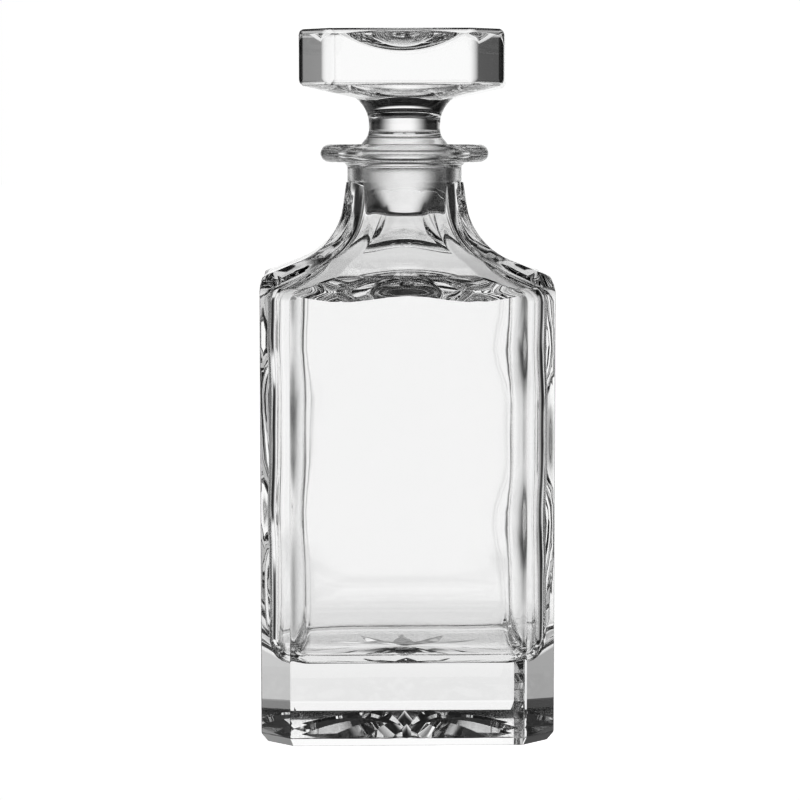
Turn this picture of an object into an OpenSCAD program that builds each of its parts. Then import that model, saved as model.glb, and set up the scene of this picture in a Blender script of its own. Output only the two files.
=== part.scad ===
// Square crystal decanter with a ground-glass stopper.
// Origin at the middle of the base, +Z up, millimetres.
// The two pieces are eight-sided forms: four flat sides and four narrow corner facets.

/* [Body] */
// Width of the body across its flat sides
body_w = 94; // [84:1:114]
// Height of the straight sides, up to the edge of the shoulder
side_h = 148.5; // [120:1:180]
// Length that each corner facet takes off a side
corner_cut = 9.6; // [6:0.2:13]
// How far the bevel round the foot reaches in
foot_bevel_in = 2.2; // [1:0.1:4]
// Height of the bevel round the foot
foot_bevel_h = 2.9; // [1:0.1:5]

/* [Shoulder and neck] */
// Slope of the shoulder at its outer edge, in degrees from level
shoulder_slope = 21.5; // [15:0.5:30]
// Radius of the hollow curve that turns the shoulder up into the neck
shoulder_r = 22; // [12:0.5:25]
// How far the corner facets of the shoulder stand outside its flat sides
corner_stand = 2.8; // [1:0.1:4]
// How far the corner facets still stand outside the flat sides at the neck
neck_corner_stand = 0.8; // [0.3:0.1:1.5]
// Height from the shoulder edge to the mould seam under the neck
shoulder_rise = 30.3; // [26:0.5:45]
// Lean of the shoulder at the seam, in degrees from upright
neck_lean = 8; // [4:1:12]
// Radius of the round neck
neck_r = 18.8; // [17.5:0.1:22]
// How far the faceted shoulder stands outside the round neck at the seam
seam_step = 0.4; // [0.2:0.1:1]
// Height of the round neck, from the seam to the underside of the lip
neck_h = 6.5; // [4:0.5:15]
// Radius of the lip ring
lip_r = 27.6; // [24:0.2:34]
// Thickness of the lip ring
lip_t = 5.8; // [4:0.1:8]
// Radius of the fillet between the neck and the underside of the lip
lip_fillet = 2.2; // [1:0.1:3]

/* [Cavity] */
// Thickness of the side walls
wall = 5.5; // [4:0.1:7]
// Thickness of the solid base
floor_t = 25.5; // [16:0.5:32]
// Thickness of glass measured straight up through the shoulder edge
shoulder_wall = 8.8; // [6:0.1:11]
// Length that each corner facet takes off a side of the cavity
cavity_cut = 7; // [4:0.2:12]
// Radius between the inner walls and the floor
floor_r = 8; // [4:0.5:9]
// Radius between the inner corner facets and the floor
floor_corner_r = 11; // [9.5:0.5:14]
// Depth of the ground stretch of the bore
ground_h = 12.5; // [9:0.5:16]
// Radius of the bore at the mouth
mouth_r = 14.3; // [12:0.1:15.5]
// How much wider the cavity is than the bore where the ground stretch ends
throat_step = 0.4; // [0.2:0.1:1]
// Taper of the ground joint, in degrees a side
ground_taper = 1.9; // [1:0.1:3]

/* [Star under the base] */
// Number of rays in the star
ray_count = 16; // [4:1:16]
// Depth of a ray at its deepest point
ray_depth = 3.6; // [1:0.1:4]
// Half the width of a ray at its deepest point
ray_half_w = 3.2; // [2:0.1:3.3]
// Distance from the middle of the star to the inner tip of a ray
ray_in_r = 1; // [1:0.1:4]
// Distance from the middle of the star to the deepest point of a ray
ray_peak_r = 17; // [17:0.5:24]
// Distance from the middle of the star to the outer tip of a ray
ray_out_r = 37; // [30:0.5:38]

/* [Stopper] */
// Width of the square head across its flat sides
head_w = 66; // [56:1:80]
// Height of the upright sides of the head
head_h = 17.7; // [12:0.1:24]
// Length that each corner facet takes off a side of the head
head_cut = 9.8; // [6:0.2:14]
// Radius round the upper and lower edges of the head
head_edge_r = 1.8; // [0.8:0.1:2.4]
// Slope of the underside of the head, in degrees from level
head_slope = 13; // [8:0.5:18]
// Radius of the round hollow in the top of the head
dish_r = 22.4; // [15:0.1:27.5]
// Depth of the hollow in the top of the head
dish_depth = 6.9; // [1:0.1:7]
// Radius of the waist, the thinnest part between the lip and the head
waist_r = 11.7; // [9:0.1:13]
// Height from the mouth of the decanter to the lower edge of the head
waist_h = 19; // [17:0.5:26]
// Radius of the hollow curve between the waist and the head
flare_r = 10.8; // [8:0.1:11.5]
// Radius of the hollow curve between the waist and the plug
plug_neck_r = 5; // [3:0.1:6]
// Length of the plug below the mouth
plug_h = 24.5; // [18:0.1:28]
// Radius of the flat end of the plug
plug_end_r = 8; // [6:0.1:10]
// Radius round the edge of the plug's flat end
plug_edge_r = 3; // [1:0.1:3.5]
// Turn of the stopper in the neck, in degrees
stopper_turn = -4.4; // [-45:0.1:45]

/* [Fit] */
// Gap between the plug and the bore, on the radius
fit_gap = 0.08; // [0.03:0.01:0.1]

/* [Hidden] */
// Pieces of the decanter
// Name of the piece to draw, or all

round_fn = 96;   // sides of every circle
curve_n = 10;    // straight strips in a curved stretch of a flank
edge_n = 4;      // straight strips round the edge of the head
spare = 1;       // overrun of a cutting shape past the face that it cuts

body_half = body_w / 2;
corner_half = (body_w - corner_cut) / sqrt(2);
seam_z = side_h + shoulder_rise;
lip_z = seam_z + neck_h;
mouth_z = lip_z + lip_t;

cavity_half = body_half - wall;
cavity_corner_half = (2 * cavity_half - cavity_cut) / sqrt(2);
cavity_edge_z = side_h + wall * tan(shoulder_slope) - shoulder_wall;
throat_z = mouth_z - ground_h;
throat_r = mouth_r - ground_h * tan(ground_taper);
throat_half = throat_r + throat_step;
seam_half = neck_r + seam_step;

head_half = head_w / 2;
head_corner_half = (head_w - head_cut) / sqrt(2);
head_z = mouth_z + waist_h;
head_top_z = head_z + head_h;
span = 2 * head_top_z;   // length of the long bars that the flanks are cut from

// Points on an arc about c from angle a to angle b, both in degrees
function arc(c, r, a, b, n) =
    [for (i = [0 : n]) c + r * [cos(a + (b - a) * i / n), sin(a + (b - a) * i / n)]];

// Half an outline that is closed by its own mirror image about the upright axis
function mirrored(half) =
    concat(half, [for (i = [len(half) - 1 : -1 : 0]) [-half[i][0], half[i][1]]]);

// Shoulder flank, from its outer edge at low up to high: a slope, a hollow curve, a steep lean
function flank(low, high, curve_r) =
    let (
        out_dir = [-cos(shoulder_slope), sin(shoulder_slope)],
        up_dir = [-sin(neck_lean), cos(neck_lean)],
        reach = cross(high - low, up_dir) / cross(out_dir, up_dir),
        corner = low + reach * out_dir,
        turn = 90 - shoulder_slope - neck_lean,
        start = corner - curve_r * tan(turn / 2) * out_dir,
        centre = start + curve_r * [sin(shoulder_slope), cos(shoulder_slope)]
    )
    concat([low], arc(centre, curve_r, 270 - shoulder_slope, 180 + neck_lean, curve_n), [high]);

// Half outline of the body through its flat sides, or through its corner facets
function body_outline(half, edge_z, top_half) =
    concat(
        [[half - foot_bevel_in, 0], [half, foot_bevel_h]],
        flank([half, edge_z], [top_half, seam_z], shoulder_r)
    );

// Half outline of the cavity, with its floor rounded into its walls
function cavity_outline(half, edge_z, top_half, low_r) =
    concat(
        arc([half - low_r, floor_t + low_r], low_r, -90, 0, curve_n / 2),
        flank([half, edge_z], [top_half, throat_z], shoulder_r + wall)
    );

// Half outline of the head, with rounded edges and a sloping underside
function head_outline(half) =
    concat(
        [[0, head_z - half * tan(head_slope)]],
        arc([half - head_edge_r, head_z + head_edge_r], head_edge_r,
            head_slope - 90, 0, edge_n),
        arc([half - head_edge_r, head_top_z - head_edge_r], head_edge_r, 0, 90, edge_n)
    );

// Bar with the given half outline, lying square to the direction a
module bar(outline, a) {
    rotate([90, 0, a])
        linear_extrude(height = span, center = true)
            polygon(mirrored(outline));
}

// Eight-sided form: what four bars have in common
module eight_sided(side, corner) {
    intersection() {
        bar(side, 0);
        bar(side, 90);
        bar(corner, 45);
        bar(corner, -45);
    }
}

// Edge height at which a corner facet meets the shoulder slope
function corner_edge(edge_z, half, far_half) =
    edge_z - (far_half - half - corner_stand) * tan(shoulder_slope);

// Inside of the decanter below its neck
module cavity() {
    eight_sided(
        cavity_outline(cavity_half, cavity_edge_z, throat_half, floor_r),
        cavity_outline(
            cavity_corner_half,
            corner_edge(cavity_edge_z, cavity_half, cavity_corner_half),
            throat_half + neck_corner_stand,
            floor_corner_r
        )
    );
}

// Round neck and lip ring above the mould seam
module neck() {
    rotate_extrude($fn = round_fn) {
        translate([0, seam_z - spare])
            square([neck_r, neck_h + lip_t + spare]);
        difference() {
            translate([0, lip_z - lip_fillet])
                square([neck_r + lip_fillet, lip_fillet + lip_t / 2]);
            translate([neck_r + lip_fillet, lip_z - lip_fillet])
                circle(r = lip_fillet, $fn = round_fn);
        }
        translate([0, lip_z])
            square([lip_r - lip_t / 2, lip_t]);
        translate([lip_r - lip_t / 2, lip_z + lip_t / 2])
            circle(r = lip_t / 2, $fn = round_fn);
    }
}

// Tapered hole with its ground stretch at the mouth
module bore() {
    rise = ground_h + spare;
    translate([0, 0, throat_z])
        cylinder(r1 = throat_r, r2 = throat_r + rise * tan(ground_taper), h = rise, $fn = round_fn);
    translate([0, 0, throat_z - spare])
        cylinder(r = throat_r, h = 2 * spare, $fn = round_fn);
}

// V groove that runs from its tip at tip_r towards far_r, and deepens all the way
module tilted_groove(tip_r, far_r) {
    tilt = atan(ray_depth / abs(ray_peak_r - tip_r));
    reach = 2 * abs(far_r - tip_r);
    drop = reach * tan(tilt);
    half_w = drop * ray_half_w / ray_depth / cos(tilt);
    translate([tip_r, 0, 0])
        rotate([0, 0, tip_r > far_r ? 180 : 0])
            rotate([0, -tilt, 0])
                rotate([90, 0, 90])
                    linear_extrude(height = reach)
                        polygon([[0, 0], [-half_w, -drop], [half_w, -drop]]);
}

// Star of V-shaped rays pressed into the underside, each deepest between its two tips
module star() {
    for (i = [0 : ray_count - 1])
        rotate([0, 0, i * 360 / ray_count])
            intersection() {
                tilted_groove(ray_in_r, ray_out_r);
                tilted_groove(ray_out_r, ray_in_r);
            }
}

module decanter_body() {
    color("lightcyan", 0.5)
        difference() {
            union() {
                eight_sided(
                    body_outline(body_half, side_h, seam_half),
                    body_outline(
                        corner_half,
                        corner_edge(side_h, body_half, corner_half),
                        seam_half + neck_corner_stand
                    )
                );
                neck();
            }
            cavity();
            bore();
            star();
        }
}

// Square head with corner facets and a round hollow in its top
module head() {
    dish_ball_r = (dish_r * dish_r + dish_depth * dish_depth) / (2 * dish_depth);
    difference() {
        eight_sided(head_outline(head_half), head_outline(head_corner_half));
        translate([0, 0, head_top_z - dish_depth + dish_ball_r])
            rotate([90, 0, 0])
                sphere(r = dish_ball_r, $fn = round_fn);
    }
}

// Waist that flares up into the head and down into the plug
module waist() {
    low = mouth_z - spare;
    high = head_z - head_edge_r;
    plug_top_r = mouth_r - fit_gap;
    rotate_extrude($fn = round_fn)
        difference() {
            translate([0, mouth_z])
                square([waist_r + flare_r, high - mouth_z]);
            translate([waist_r + flare_r, high - flare_r])
                circle(r = flare_r, $fn = round_fn);
            translate([waist_r, low])
                square([flare_r + spare, high - flare_r - low]);
        }
    rotate_extrude($fn = round_fn)
        difference() {
            translate([0, mouth_z])
                square([plug_top_r, plug_neck_r]);
            translate([waist_r + plug_neck_r, mouth_z + plug_neck_r])
                circle(r = plug_neck_r, $fn = round_fn);
        }
}

// Plug: a ground taper that fits the bore, then a polished round-edged end
module plug() {
    ground_r = throat_r - fit_gap;
    end_z = mouth_z - plug_h;
    rotate_extrude($fn = round_fn) {
        polygon([
            [0, mouth_z],
            [mouth_r - fit_gap, mouth_z],
            [ground_r, throat_z],
            [plug_end_r + plug_edge_r, end_z + plug_edge_r],
            [0, end_z + plug_edge_r]
        ]);
        translate([0, end_z])
            square([plug_end_r, plug_edge_r]);
        intersection() {
            translate([plug_end_r, end_z])
                square(plug_edge_r);
            translate([plug_end_r, end_z + plug_edge_r])
                circle(r = plug_edge_r, $fn = round_fn);
        }
    }
}

module stopper() {
    color("azure", 0.6)
        rotate([0, 0, stopper_turn])
            union() {
                head();
                waist();
                plug();
            }
}

decanter_body();
stopper();
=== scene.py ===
import bpy
import bmesh
import math
import random
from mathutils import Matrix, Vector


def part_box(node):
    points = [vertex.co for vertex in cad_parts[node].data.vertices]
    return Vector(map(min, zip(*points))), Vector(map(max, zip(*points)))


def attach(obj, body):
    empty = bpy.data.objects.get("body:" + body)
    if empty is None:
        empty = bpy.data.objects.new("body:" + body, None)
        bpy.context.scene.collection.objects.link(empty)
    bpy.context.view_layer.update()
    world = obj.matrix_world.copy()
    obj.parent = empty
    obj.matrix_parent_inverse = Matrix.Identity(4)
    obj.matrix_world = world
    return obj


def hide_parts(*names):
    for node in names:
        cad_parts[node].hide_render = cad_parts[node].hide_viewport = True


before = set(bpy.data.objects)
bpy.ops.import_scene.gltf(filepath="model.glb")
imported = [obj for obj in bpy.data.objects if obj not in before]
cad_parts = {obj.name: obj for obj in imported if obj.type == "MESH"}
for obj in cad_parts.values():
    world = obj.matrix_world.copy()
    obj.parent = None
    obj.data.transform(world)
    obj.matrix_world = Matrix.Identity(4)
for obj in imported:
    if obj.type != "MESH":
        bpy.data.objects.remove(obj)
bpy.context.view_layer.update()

# Square crystal decanter with its ground stopper, on white paper between white cards.
# Sizes in the dictionaries are millimetres and degrees, the scene is in metres.
mm = 0.001
bodyLow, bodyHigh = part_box("decanter_body")
stopperLow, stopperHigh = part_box("stopper")
touch = 1e-6       # metres: heights closer than this are the same
roundSteps = 6     # facets across a rounded edge


def clearAll():
    if bpy.context.mode != "OBJECT":
        bpy.ops.object.mode_set(mode="OBJECT")
    bpy.ops.object.select_all(action="DESELECT")


def nameNew(name):
    piece = bpy.context.object
    piece.name = name
    piece.data.name = name
    return piece


def choose(piece):
    clearAll()
    piece.select_set(True)
    bpy.context.view_layer.objects.active = piece


def edit(piece):
    choose(piece)
    bpy.ops.object.mode_set(mode="EDIT")


def pick(kind, wanted):
    # select the verts, edges or faces that the test wants, and nothing else
    piece = bpy.context.object
    bpy.ops.mesh.select_mode(type={"verts": "VERT", "edges": "EDGE", "faces": "FACE"}[kind])
    bpy.ops.mesh.select_all(action="DESELECT")
    cage = bmesh.from_edit_mesh(piece.data)
    cage.normal_update()
    for part in getattr(cage, kind):
        if wanted(part):
            part.select_set(True)
    cage.select_flush_mode()
    bmesh.update_edit_mesh(piece.data)


def pickedVerts():
    cage = bmesh.from_edit_mesh(bpy.context.object.data)
    return [v.co for v in cage.verts if v.select]


def grow(x, y=None, z=1.0):
    bpy.ops.transform.resize(value=(x, x if y is None else y, z), center_override=(0, 0, 0))


def block(name, width, low, high):
    # a square block on the axis, left in edit mode with the edges that run up it selected
    clearAll()
    bpy.ops.mesh.primitive_cube_add(size=1, location=(0, 0, (low + high) / 2 * mm))
    piece = nameNew(name)
    piece.scale = (width * mm, width * mm, (high - low) * mm)
    bpy.ops.object.transform_apply(location=True, rotation=True, scale=True)
    edit(piece)
    pickUpright((high - low) / 2)
    return piece


def pickUpright(taller):
    # the edges that rise more than this
    pick("edges", lambda e: abs(e.verts[0].co.z - e.verts[1].co.z) > taller * mm)


def raiseRing(dz):
    bpy.ops.mesh.extrude_region_move(TRANSFORM_OT_translate={"value": (0, 0, dz)})


def finishMesh():
    bpy.ops.mesh.select_all(action="SELECT")
    bpy.ops.mesh.remove_doubles(threshold=0.002 * mm)
    bpy.ops.mesh.normals_make_consistent(inside=False)
    bpy.ops.object.mode_set(mode="OBJECT")


def applyModifier(piece, kind, **settings):
    choose(piece)
    added = piece.modifiers.new(kind.lower(), kind)
    for key, value in settings.items():
        setattr(added, key, value)
    bpy.ops.object.modifier_apply(modifier=added.name)


def combine(piece, tool, operation):
    # boolean with a second piece, which is used up
    applyModifier(piece, "BOOLEAN", object=tool, operation=operation, solver="MANIFOLD")
    bpy.data.objects.remove(tool, do_unlink=True)


def arcPoints(centre, radius, start, end, steps):
    points = []
    for i in range(steps + 1):
        angle = math.radians(start + (end - start) * i / steps)
        points.append((centre[0] + radius * math.cos(angle), centre[1] + radius * math.sin(angle)))
    return points


def turned(name, outline, sides):
    # a round solid pulled up ring by ring from a disc; outline is (radius, z) from the bottom
    clearAll()
    radius, z = outline[0]
    bpy.ops.mesh.primitive_circle_add(
        vertices=sides, radius=radius * mm, fill_type="NGON", location=(0, 0, z * mm))
    piece = nameNew(name)
    bpy.ops.object.transform_apply(location=True, rotation=True, scale=True)
    edit(piece)
    bpy.ops.mesh.select_all(action="SELECT")
    for nextRadius, nextZ in outline[1:]:
        raiseRing((nextZ - z) * mm)
        grow(nextRadius / radius)
        radius, z = nextRadius, nextZ
    finishMesh()
    return piece


def flankMaker(edge, top, slope, lean, radius):
    # the shoulder's flank is a slope, a hollow curve and a steep lean: gives a function from
    # height to half width, and the height where the curve starts
    s, t = math.radians(slope), math.radians(lean)
    outDir = (-math.cos(s), math.sin(s))
    upDir = (-math.sin(t), math.cos(t))
    gap = (top[0] - edge[0], top[1] - edge[1])
    reach = (gap[0] * upDir[1] - gap[1] * upDir[0]) / (outDir[0] * upDir[1] - outDir[1] * upDir[0])
    corner = (edge[0] + reach * outDir[0], edge[1] + reach * outDir[1])
    back = radius * math.tan(math.radians(90 - slope - lean) / 2)
    start = (corner[0] - back * outDir[0], corner[1] - back * outDir[1])
    centre = (start[0] + radius * math.sin(s), start[1] + radius * math.cos(s))
    endZ = centre[1] - radius * math.sin(t)

    def halfAt(z):
        if z <= start[1]:
            return edge[0] - (z - edge[1]) / math.tan(s)
        if z <= endZ:
            return centre[0] - math.sqrt(radius ** 2 - (centre[1] - z) ** 2)
        return top[0] + (top[1] - z) * math.tan(t)

    return halfAt, start[1]


def spread(low, high, count):
    return [low + (high - low) * i / count for i in range(1, count + 1)]


glassBody = {
    "width": (bodyHigh[0] - bodyLow[0]) / mm,
    "mouthZ": bodyHigh[2] / mm,
    "sideTop": 148.5,
    "cornerCut": 9.6,
    "footIn": 2.2,
    "footUp": 2.9,
    "shoulderSlope": 21.5,
    "shoulderRadius": 22.0,
    "cornerStand": 2.8,
    "neckCornerStand": 0.8,
    "neckLean": 8.0,
    "seamZ": 178.8,
    "seamStep": 0.4,
    "neckRadius": 18.8,
    "lipRadius": 27.6,
    "lipThick": 5.8,
    "lipFillet": 2.2,
    "edgeRound": 3.2,      # soft edge between the sides and the shoulder
    "ridgeRound": 0.35,    # fire-polished ridges between the facets
    "neckRound": 6.0,      # the ridges melt away into the round neck
    "neckRoundFrom": 158.0,
    "seamOverlap": 2.0,    # how far the round neck starts below the seam
    "shoulderRings": 30,
    "sides": 128,          # sides of everything that is round
}


def facetedOuter(g):
    half = g["width"] / 2
    cornerHalf = (g["width"] - g["cornerCut"]) / math.sqrt(2)
    cornerTop = g["sideTop"] - (cornerHalf - half - g["cornerStand"]) * math.tan(
        math.radians(g["shoulderSlope"]))
    seamHalf = g["neckRadius"] + g["seamStep"]
    sideFlank, curveLow = flankMaker(
        (half, g["sideTop"]), (seamHalf, g["seamZ"]),
        g["shoulderSlope"], g["neckLean"], g["shoulderRadius"])
    cornerFlank, cornerLow = flankMaker(
        (cornerHalf, cornerTop), (seamHalf + g["neckCornerStand"], g["seamZ"]),
        g["shoulderSlope"], g["neckLean"], g["shoulderRadius"])

    piece = block("decanterGlass", g["width"], g["footUp"], cornerTop)
    bpy.ops.mesh.bevel(offset=g["cornerCut"] * mm, segments=1, affect="EDGES")

    state = {}     # height and two half widths of the ring made last

    def ring(z, side, corner, up):
        # next eight-sided ring: extrude the end face, then set its two widths
        flat = corner * math.sqrt(2) - side
        raiseRing((z - state["z"]) * mm)
        grow(side / state["side"])
        slim = flat / (state["flat"] * side / state["side"])
        pick("verts", lambda v: abs(v.co.z - z * mm) < touch and abs(v.co.y) > abs(v.co.x))
        grow(slim, 1.0)
        pick("verts", lambda v: abs(v.co.z - z * mm) < touch and abs(v.co.x) > abs(v.co.y))
        grow(1.0, slim)
        pick("faces", lambda f: f.normal.z * up > 0.9
             and abs(f.calc_center_median().z - z * mm) < touch)
        state.update(z=z, side=side, flat=flat)

    flatHalf = half - g["cornerCut"]
    state.update(z=g["footUp"], side=half, flat=flatHalf)
    pick("faces", lambda f: f.normal.z < -0.9)
    ring(0, half - g["footIn"], cornerHalf - g["footIn"], -1)

    state.update(z=cornerTop, side=half, flat=flatHalf)
    pick("faces", lambda f: f.normal.z > 0.9)
    # no ring falls inside the rounding of the shoulder edge
    firstRing = g["sideTop"] + 1.2 * g["edgeRound"] * math.sin(math.radians(g["shoulderSlope"]))
    heights = [g["sideTop"], firstRing] + spread(firstRing, g["seamZ"], g["shoulderRings"])
    heights = [z for z in sorted(heights + [curveLow, cornerLow])
               if z in (g["sideTop"], firstRing) or z > firstRing + 0.3]
    for z in heights:
        ring(z, min(half, sideFlank(z)), cornerFlank(z), 1)
    finishMesh()

    # how much of the edge rounding each sharp edge takes
    edit(piece)
    cage = bmesh.from_edit_mesh(piece.data)
    weight = cage.edges.layers.float.new("bevel_weight_edge")
    for e in cage.edges:
        if len(e.link_faces) < 2 or e.calc_face_angle() < math.radians(12):
            continue
        a, b = (v.co.z / mm for v in e.verts)
        if min(a, b) > g["seamZ"] - 0.1:
            continue
        around = min(a, b) > cornerTop - 0.1 and max(a, b) < g["sideTop"] + 0.1
        melt = max(0, (a + b) / 2 - g["neckRoundFrom"]) / (g["seamZ"] - g["neckRoundFrom"])
        ridge = g["ridgeRound"] + (g["neckRound"] - g["ridgeRound"]) * melt ** 1.5
        e[weight] = (g["edgeRound"] if around else ridge) / g["neckRound"]
    bmesh.update_edit_mesh(piece.data)
    bpy.ops.object.mode_set(mode="OBJECT")
    applyModifier(piece, "BEVEL", width=g["neckRound"] * mm, segments=roundSteps,
                  limit_method="WEIGHT", use_clamp_overlap=False)
    return piece


def neckAndLip(g):
    lipZ = g["mouthZ"] - g["lipThick"]
    lip = g["lipThick"] / 2
    outline = [(g["neckRadius"], g["seamZ"] - g["seamOverlap"]),
               (g["neckRadius"], lipZ - g["lipFillet"])]
    fillet = arcPoints((g["neckRadius"] + g["lipFillet"], lipZ - g["lipFillet"]),
                       g["lipFillet"], 180, 90, 6)
    rim = arcPoints((g["lipRadius"] - lip, lipZ + lip), lip, -90, 90, 20)
    return turned("neckAndLip", outline + fillet[1:] + rim, g["sides"])


glassCavity = {
    "wall": 5.5,
    "floorZ": 25.5,
    "cornerRadius": 10.5,
    "floorRadius": 8.0,
    "shoulderWall": 8.8,
    "groundDepth": 12.5,
    "mouthRadius": 14.3,
    "groundTaper": 1.9,
    "throatStep": 0.4,
    "shoulderRings": 26,
    "waveRings": 20,
    "sideCuts": 9,         # cuts along each side, for the bow of the shoulder edge
    "waves": ((0.8, 62.0), (0.3, 27.0)),    # size of each wave and its length
    "waveSeed": 7,
    "waveEase": 15.0,      # the waves die out over this much at the floor and the shoulder
    "bow": (1.6, -0.4, 1.8),     # lift of the shoulder edge at a side's middle, thirds, corners
    "bowReach": 9.0,       # the bow dies out over this much above the edge
    "boreBelow": 0.6,      # how far the bore's tool runs past the throat and the mouth
    "boreAbove": 1.0,
}


def waveCorners(c, half, edgeZ):
    # blown glass never fills the mould's corners evenly: they swell and draw in on the way down
    low = c["floorZ"] + c["floorRadius"]
    pickUpright((edgeZ - low) / 2)
    bpy.ops.mesh.subdivide(number_cuts=c["waveRings"])
    heights = sorted({round(v.z / mm, 3) for v in pickedVerts()})[1:-1]
    random.seed(c["waveSeed"])
    for sx, sy in ((1, 1), (1, -1), (-1, 1), (-1, -1)):
        phases = [random.uniform(0, 2 * math.pi) for _ in c["waves"]]
        for z in heights:
            move = sum(size * math.sin(2 * math.pi * z / length + phase)
                       for (size, length), phase in zip(c["waves"], phases))
            ease = min(1, (z - low) / c["waveEase"], (edgeZ - z) / c["waveEase"])
            move *= max(0, ease) / math.sqrt(2) * mm
            pick("verts", lambda v: abs(v.co.z / mm - z) < 0.01
                 and v.co.x * sx > (half - c["cornerRadius"] - 0.01) * mm
                 and v.co.y * sy > (half - c["cornerRadius"] - 0.01) * mm)
            bpy.ops.transform.translate(value=(move * sx, move * sy, 0))


def bowEdge(c, edgeZ):
    # the edge of the inner shoulder is not level: it bows along each side, as blown glass does
    middle, third, corner = c["bow"]
    cage = bmesh.from_edit_mesh(bpy.context.object.data)
    for v in cage.verts:
        z = v.co.z / mm
        if z < edgeZ - 0.5:
            continue
        near, far = sorted((abs(v.co.x), abs(v.co.y)))
        along = near / max(far, 1e-9)
        if along < 0.5:
            lift = third + (middle - third) * (0.5 + 0.5 * math.cos(2 * math.pi * along))
        else:
            lift = third + (corner - third) * (0.5 - 0.5 * math.cos(2 * math.pi * (along - 0.5)))
        v.co.z += lift * max(0, 1 - (z - edgeZ) / c["bowReach"]) ** 2 * mm
    bmesh.update_edit_mesh(bpy.context.object.data)


def cavityTool(g, c):
    half = g["width"] / 2 - c["wall"]
    edgeZ = (g["sideTop"] + c["wall"] * math.tan(math.radians(g["shoulderSlope"]))
             - c["shoulderWall"])
    throatZ = g["mouthZ"] - c["groundDepth"]
    throatR = c["mouthRadius"] - c["groundDepth"] * math.tan(math.radians(c["groundTaper"]))
    flank, _ = flankMaker(
        (half, edgeZ), (throatR + c["throatStep"], throatZ),
        g["shoulderSlope"], g["neckLean"], g["shoulderRadius"] + c["wall"])
    piece = block("cavity", 2 * half, c["floorZ"], edgeZ)
    bpy.ops.mesh.bevel(offset=c["cornerRadius"] * mm, segments=10, affect="EDGES")
    pick("edges", lambda e: e.calc_length() > half * mm      # the long level edges of the sides
         and abs(e.verts[0].co.z - e.verts[1].co.z) < touch)
    bpy.ops.mesh.subdivide(number_cuts=c["sideCuts"])
    pick("edges", lambda e: max(v.co.z for v in e.verts) < (c["floorZ"] + 0.01) * mm
         and len(e.link_faces) == 2
         and abs(e.link_faces[0].normal.z - e.link_faces[1].normal.z) > 0.5)
    bpy.ops.mesh.bevel(offset=c["floorRadius"] * mm, segments=8, affect="EDGES")
    waveCorners(c, half, edgeZ)
    pick("faces", lambda f: f.normal.z > 0.9)
    heights = spread(edgeZ, throatZ, c["shoulderRings"])
    z = edgeZ
    for i, nextZ in enumerate(heights):
        # each ring is a little rounder than the one below it, and the last is a circle
        raiseRing((nextZ - z) * mm)
        bpy.ops.transform.tosphere(value=1.0 / (len(heights) - i))
        grow(flank(nextZ) * mm / max(abs(v.x) for v in pickedVerts()))
        z = nextZ
    bowEdge(c, edgeZ)
    finishMesh()
    return piece


def boreTool(g, c):
    throatZ = g["mouthZ"] - c["groundDepth"]
    lean = math.tan(math.radians(c["groundTaper"]))
    low, high = throatZ - c["boreBelow"], g["mouthZ"] + c["boreAbove"]
    throatR = c["mouthRadius"] - c["groundDepth"] * lean
    outline = [(throatR, low), (throatR, throatZ), (throatR + (high - throatZ) * lean, high)]
    return turned("bore", outline, g["sides"])


starCut = {
    "rays": 16,
    "inner": 1.0,
    "peak": 17.0,
    "outer": 37.0,
    "halfWidth": 3.5,
    "depth": 3.6,
    "tip": 0.01,       # the ends of a ray are this fine
    "sink": 0.02,      # its middle line lies this far below the face it is cut into
    "steps": 12,
}


def starRay(s, angle):
    # one wheel-cut ray: a long four-sided solid whose width and depth swell in an arc to the peak
    rise = [(math.sin(math.pi / 2 * i / s["steps"]), s["inner"] + (s["peak"] - s["inner"])
             * i / s["steps"]) for i in range(s["steps"] + 1)]
    fall = [(math.cos(math.pi / 2 * i / s["steps"]), s["peak"] + (s["outer"] - s["peak"])
             * i / s["steps"]) for i in range(1, s["steps"] + 1)]
    outline = [(max(r, s["tip"]), x) for r, x in rise + fall]
    ray = turned("starRay", outline, 4)
    choose(ray)
    ray.scale = (s["depth"], s["halfWidth"], 1)
    bpy.ops.object.transform_apply(location=False, rotation=False, scale=True)
    ray.rotation_euler = (0, math.radians(90), 0)
    bpy.ops.object.transform_apply(location=False, rotation=True, scale=False)
    ray.rotation_euler = (0, 0, math.radians(angle))
    ray.location = (0, 0, -s["sink"] * mm)
    bpy.ops.object.transform_apply(location=True, rotation=True, scale=True)
    return ray


def buildBody():
    g, c = glassBody, glassCavity
    body = facetedOuter(g)
    combine(body, neckAndLip(g), "UNION")
    combine(body, cavityTool(g, c), "DIFFERENCE")
    combine(body, boreTool(g, c), "DIFFERENCE")
    for i in range(starCut["rays"]):
        combine(body, starRay(starCut, 360 * i / starCut["rays"]), "DIFFERENCE")
    return body


glassStopper = {
    "headWidth": 66.0,
    "headCut": 9.8,
    "headZ": 210.1,
    "topZ": stopperHigh[2] / mm,
    "edgeRound": 1.8,
    "ridgeRound": 2.6,
    "underSlope": 13.0,
    "underShare": 0.25,    # how small the underside gets before the waist takes over
    "dishDepth": 6.9,
    "dishRadius": 22.4,
    "waistRadius": 11.7,
    "flareRadius": 10.8,
    "plugNeckRadius": 5.0,
    "endZ": stopperLow[2] / mm,
    "endRadius": 8.0,
    "endRound": 3.0,
    "gap": 0.08,
    "neckSweep": 48,       # degrees of the hollow curve over the plug, and of the one below the head
    "flareSweep": 88,
    "headSink": 2.0,       # how far the waist runs up into the head
    "turn": -4.4,
}


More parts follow.
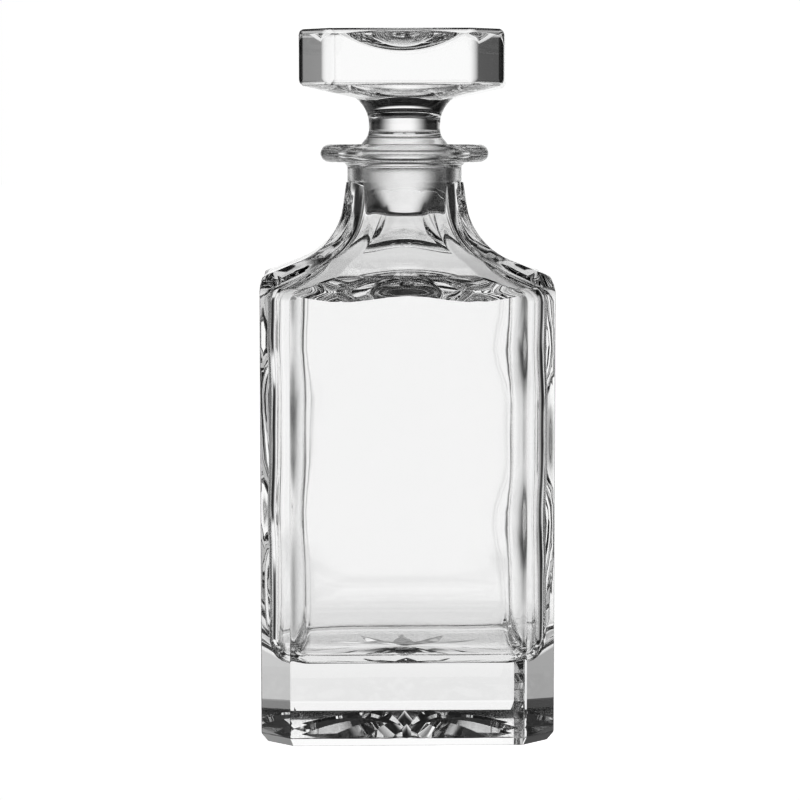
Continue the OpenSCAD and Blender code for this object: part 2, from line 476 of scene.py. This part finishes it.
def headBlock(p):
    half = p["headWidth"] / 2
    piece = block("stopperGlass", p["headWidth"], p["headZ"], p["topZ"])
    bpy.ops.mesh.bevel(offset=p["headCut"] * mm, segments=1, affect="EDGES")
    # the underside falls towards the waist
    pick("faces", lambda f: f.normal.z < -0.9)
    raiseRing(-half * (1 - p["underShare"]) * math.tan(math.radians(p["underSlope"])) * mm)
    grow(p["underShare"])
    finishMesh()
    edit(piece)
    cage = bmesh.from_edit_mesh(piece.data)
    weight = cage.edges.layers.float.new("bevel_weight_edge")
    for e in cage.edges:
        a, b = (v.co.z / mm for v in e.verts)
        if min(a, b) < p["headZ"] - 0.1:
            continue
        e[weight] = 1.0 if abs(a - b) < 0.1 else p["ridgeRound"] / p["edgeRound"]
    bmesh.update_edit_mesh(piece.data)
    bpy.ops.object.mode_set(mode="OBJECT")
    applyModifier(piece, "BEVEL", width=p["edgeRound"] * mm, segments=roundSteps,
                  limit_method="WEIGHT")
    return piece


def dishTool(p):
    # the hollow ground into the top: a cap of a ball
    ball = (p["dishRadius"] ** 2 + p["dishDepth"] ** 2) / (2 * p["dishDepth"])
    over = math.degrees(math.asin(p["dishRadius"] / ball)) + 4
    low = p["topZ"] - p["dishDepth"]
    return turned("dish", arcPoints((0, low + ball), ball, -89.7, over - 90, 36), 160)


def waistAndPlug(p, g, c):
    mouth = g["mouthZ"]
    throatZ = mouth - c["groundDepth"]
    lean = math.tan(math.radians(c["groundTaper"]))
    topR = c["mouthRadius"] - p["gap"]
    throatR = topR - c["groundDepth"] * lean
    high = p["headZ"] - p["edgeRound"]
    end = arcPoints((p["endRadius"], p["endZ"] + p["endRound"]), p["endRound"], -90, -8, 8)
    low = arcPoints((p["waistRadius"] + p["plugNeckRadius"], mouth + p["plugNeckRadius"]),
                    p["plugNeckRadius"], 180 + p["neckSweep"], 180, 8)
    flare = arcPoints((p["waistRadius"] + p["flareRadius"], high - p["flareRadius"]),
                      p["flareRadius"], 180, 180 - p["flareSweep"], 24)
    outline = ([(0.01, p["endZ"])] + end + [(throatR, throatZ), (topR, mouth)] + low + flare
               + [(flare[-1][0], p["headZ"] + p["headSink"])])
    return turned("waistAndPlug", outline, g["sides"])


def buildStopper():
    p = glassStopper
    stopper = headBlock(p)
    combine(stopper, dishTool(p), "DIFFERENCE")
    combine(stopper, waistAndPlug(p, glassBody, glassCavity), "UNION")
    choose(stopper)
    stopper.rotation_euler = (0, 0, math.radians(p["turn"]))
    bpy.ops.object.transform_apply(location=True, rotation=True, scale=True)
    return stopper


def linear(text):
    # sRGB hex to the linear values that the shader takes
    def one(v):
        v = int(v, 16) / 255
        return v / 12.92 if v <= 0.04045 else ((v + 0.055) / 1.055) ** 2.4
    return tuple(one(text[i:i + 2]) for i in (1, 3, 5)) + (1.0,)


def addNode(tree, kind, values=None, **settings):
    # a value may be a plain number, a socket, or a node, which stands for its first output
    node = tree.nodes.new(kind)
    for key, value in settings.items():
        setattr(node, key, value)
    for key, value in (values or {}).items():
        if isinstance(value, bpy.types.Node):
            value = value.outputs[0]
        if isinstance(value, bpy.types.NodeSocket):
            tree.links.new(value, node.inputs[key])
        else:
            node.inputs[key].default_value = value
    return node


def softMask(tree, strength, limits):
    # each limit has a value, where the mask is gone and where it is full
    mask = strength
    for value, gone, full in limits:
        limit = addNode(tree, "ShaderNodeMapRange", {
            "Value": value, "From Min": gone, "From Max": full}, interpolation_type="SMOOTHSTEP")
        mask = addNode(tree, "ShaderNodeMath", {0: mask, 1: limit}, operation="MULTIPLY")
    return mask


# Lead crystal blown in a mould and fire-polished: brilliant and clean, with a slow ripple from
# the mould that bends what is seen through the flat sides. The socket in the neck is ground with
# emery, so it is a matt grey band, and the rim it stands on has fine scuffs.
blownCrystal = {
    "name": "blownLeadCrystal",
    "colour": "#fdfdfd",
    "ior": 1.54,
    "ground": (0.16, 178.6, 191.1, 14.9),   # roughness, from height, to height, within radius
    "grain": (0.35, 0.012),                 # size of the emery grain and its depth
    "scuff": (0.22, 0.35, 0.8),             # roughness, how high it reaches, size of a scratch
    "ripple": (26.0, 0.030),                # length of the mould ripple and its height
    "cords": (7.0, 0.004),                  # the same for the fine streaks in the glass
}

# The same glass pressed solid and wheel-polished: the ripple is shorter and fainter, so the
# facets of the head look like clear ice, and the plug is ground as the socket is.
pressedCrystal = {
    "name": "pressedLeadCrystal",
    "colour": "#fdfdfd",
    "ior": 1.54,
    "ground": (0.16, 178.6, 191.1, 14.9),
    "grain": (0.35, 0.012),
    "scuff": (0.0, 0.35, 0.8),
    "ripple": (14.0, 0.012),
    "cords": (6.0, 0.003),
}


def crystal(k):
    mat = bpy.data.materials.new(k["name"])
    mat.use_nodes = True
    tree = mat.node_tree
    shader = tree.nodes["Principled BSDF"]
    shader.inputs["Base Color"].default_value = linear(k["colour"])
    shader.inputs["Transmission Weight"].default_value = 1.0
    shader.inputs["IOR"].default_value = k["ior"]
    place = addNode(tree, "ShaderNodeTexCoord").outputs["Object"]
    height = addNode(tree, "ShaderNodeSeparateXYZ", {"Vector": place}).outputs["Z"]
    level = addNode(tree, "ShaderNodeVectorMath", {0: place, 1: (1, 1, 0)}, operation="MULTIPLY")
    radius = addNode(tree, "ShaderNodeVectorMath", {0: level}, operation="LENGTH").outputs["Value"]

    groundRough, low, high, within = k["ground"]
    edge = 0.3     # the ground band ends softly over this much
    band = softMask(tree, 1.0, ((height, (low - edge) * mm, (low + edge) * mm),
                                (height, high * mm, (high - edge) * mm),
                                (radius, (within + edge) * mm, within * mm)))
    scuffRough, scuffTop, scratch = k["scuff"]
    scratches = addNode(tree, "ShaderNodeTexNoise", {
        "Vector": place, "Scale": 1 / (scratch * mm), "Detail": 4.0, "Roughness": 0.7})
    gone, full = 0.42, 0.62     # noise levels where a scratch is gone and where it is full
    scuffs = softMask(tree, scuffRough, ((height, scuffTop * mm, scuffTop * mm / 2),
                                         (scratches.outputs[0], gone, full)))
    rough = addNode(tree, "ShaderNodeMath", {0: band, 1: groundRough, 2: scuffs},
                    operation="MULTIPLY_ADD")
    tree.links.new(rough.outputs[0], shader.inputs["Roughness"])

    # surface relief in metres: the ripple, streaks drawn out upwards, and grain in the band
    stretch = 0.18
    drawnOut = addNode(tree, "ShaderNodeMapping", {
        "Vector": place, "Scale": (1.0, 1.0, stretch)})
    relief = 0.0
    for (size, depth), where, detail, mask in ((k["ripple"], place, 1.0, 1.0),
                                               (k["cords"], drawnOut, 2.0, 1.0),
                                               (k["grain"], place, 3.0, band)):
        noise = addNode(tree, "ShaderNodeTexNoise", {
            "Vector": where, "Scale": 1 / (size * mm), "Detail": detail})
        amount = addNode(tree, "ShaderNodeMath", {0: mask, 1: depth * mm}, operation="MULTIPLY")
        relief = addNode(tree, "ShaderNodeMath", {0: noise, 1: amount, 2: relief},
                         operation="MULTIPLY_ADD")
    bump = addNode(tree, "ShaderNodeBump", {"Strength": 1.0, "Distance": 1.0, "Height": relief})
    tree.links.new(bump.outputs[0], shader.inputs["Normal"])
    return mat


print("modelling the decanter")
body = buildBody()
print("modelling the stopper")
stopper = buildStopper()
for piece, glass, slot, node, owner in (
        (body, blownCrystal, "body_crystal", "decanter_body", "decanter"),
        (stopper, pressedCrystal, "stopper_crystal", "stopper", "stopper")):
    piece.data.materials.clear()
    piece.data.materials.append(crystal(glass))
    choose(piece)
    bpy.ops.object.shade_smooth_by_angle(angle=math.radians(20))
    applyModifier(piece, "WEIGHTED_NORMAL", mode="FACE_AREA", weight=80, keep_sharp=True)
    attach(piece, owner)
    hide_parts(node)
    print(piece.name, len(piece.data.polygons), "faces")

# White cards standing round the decanter in a dark room. Each has the direction it stands in
# (degrees from +Y towards -X), its strength, how far from its middle it starts to fade sideways
# and is gone, then the heights where it begins, is full, starts to fade again and ends.
studio = {
    "cards": [
        (-4, 1.02, 8, 36, -22, -8, 19, 22),      # behind, to well above the head
        (-4, 0.92, 10, 52, -74, -64, -8, -1),    # the table top in front of it
        (90, 1.0, 14, 40, -31, -22, 19, 28),     # left
        (-90, 0.6, 10, 36, -31, -22, 19, 28),    # right
        (180, 0.7, 14, 44, -31, -22, 19, 28),    # front
        (45, 1.0, 14, 30, -48, -42, -16, -8),    # low behind the left corner
        (-135, 0.9, 14, 30, -40, -34, 6, 12),    # low before the right corner
    ],
    "room": 0.02,               # what the dark room still gives
    "below": (44, 56, 0.9),     # paper under the foot: starts, full, strength
}


def buildWorld(w):
    world = bpy.data.worlds.new("cardTent")
    bpy.context.scene.world = world
    world.use_nodes = True
    tree = world.node_tree
    tree.nodes.clear()
    place = addNode(tree, "ShaderNodeTexCoord").outputs["Generated"]
    upward = addNode(tree, "ShaderNodeSeparateXYZ", {"Vector": place}).outputs["Z"]
    rise = addNode(tree, "ShaderNodeMath", {0: upward}, operation="ARCSINE")
    rise = addNode(tree, "ShaderNodeMath", {0: rise}, operation="DEGREES")
    level = addNode(tree, "ShaderNodeVectorMath", {0: place, 1: (1, 1, 0)}, operation="MULTIPLY")
    aim = addNode(tree, "ShaderNodeVectorMath", {0: level}, operation="NORMALIZE")

    starts, full, strength = w["below"]
    masks = [softMask(tree, strength, ((rise, -starts, -full),))]
    for stand, strength, solid, gone, start, full, fading, end in w["cards"]:
        a = math.radians(stand)
        facing = addNode(tree, "ShaderNodeVectorMath", {
            0: aim, 1: (-math.sin(a), math.cos(a), 0)}, operation="DOT_PRODUCT").outputs["Value"]
        off = addNode(tree, "ShaderNodeMath", {0: facing}, operation="ARCCOSINE")
        off = addNode(tree, "ShaderNodeMath", {0: off}, operation="DEGREES")
        masks.append(softMask(tree, strength, (
            (off, gone, solid), (rise, start, full), (rise, end, fading))))
    masks.append(addNode(tree, "ShaderNodeLightPath").outputs["Is Camera Ray"])
    total = w["room"]
    for mask in masks:
        total = addNode(tree, "ShaderNodeMath", {0: total, 1: mask}, operation="MAXIMUM")
    light = addNode(tree, "ShaderNodeBackground", {"Color": (1, 1, 1, 1), "Strength": total})
    addNode(tree, "ShaderNodeOutputWorld", {"Surface": light})


def buildTable():
    # white paper, seen straight on only: in the glass the tent's own table light stands for it
    clearAll()
    bpy.ops.mesh.primitive_plane_add(size=30, location=(0, 0, 0))
    table = nameNew("table")
    mat = bpy.data.materials.new("whitePaper")
    mat.use_nodes = True
    tree = mat.node_tree
    tree.nodes.clear()
    paper = addNode(tree, "ShaderNodeBsdfDiffuse", {"Color": linear("#f0f0f0")})
    glow = addNode(tree, "ShaderNodeEmission", {"Color": (1, 1, 1, 1), "Strength": 0.94})
    both = addNode(tree, "ShaderNodeAddShader", {0: paper, 1: glow})
    addNode(tree, "ShaderNodeOutputMaterial", {"Surface": both})
    table.data.materials.append(mat)
    table.visible_transmission = False
    table.visible_glossy = False
    table.visible_diffuse = False


print("lighting the studio")
buildWorld(studio)
buildTable()

view = {"distance": 940.0, "eye": 189.0, "pitch": 5.0, "bodyTurn": 1.65, "lens": 128.2,
        "shift": -0.0056}
turn = math.radians(view["bodyTurn"])
cameraData = bpy.data.cameras.new("camera")
cameraData.lens = view["lens"]
cameraData.sensor_width = 36
cameraData.shift_x = view["shift"]
cameraData.clip_start = 0.01
camera = bpy.data.objects.new("camera", cameraData)
bpy.context.scene.collection.objects.link(camera)
camera.location = (-view["distance"] * math.sin(turn) * mm,
                   -view["distance"] * math.cos(turn) * mm, view["eye"] * mm)
camera.rotation_euler = (math.radians(90 - view["pitch"]), 0, -turn)
scene = bpy.context.scene
scene.camera = camera
scene.view_settings.view_transform = "Standard"
scene.view_settings.gamma = 0.66       # deep darks and clear whites
scene.cycles.max_bounces = 32
scene.cycles.transmission_bounces = 32
scene.cycles.glossy_bounces = 16
scene.cycles.caustics_reflective = True
scene.cycles.caustics_refractive = True
scene.cycles.blur_glossy = 0.0
scene.cycles.use_denoising = True
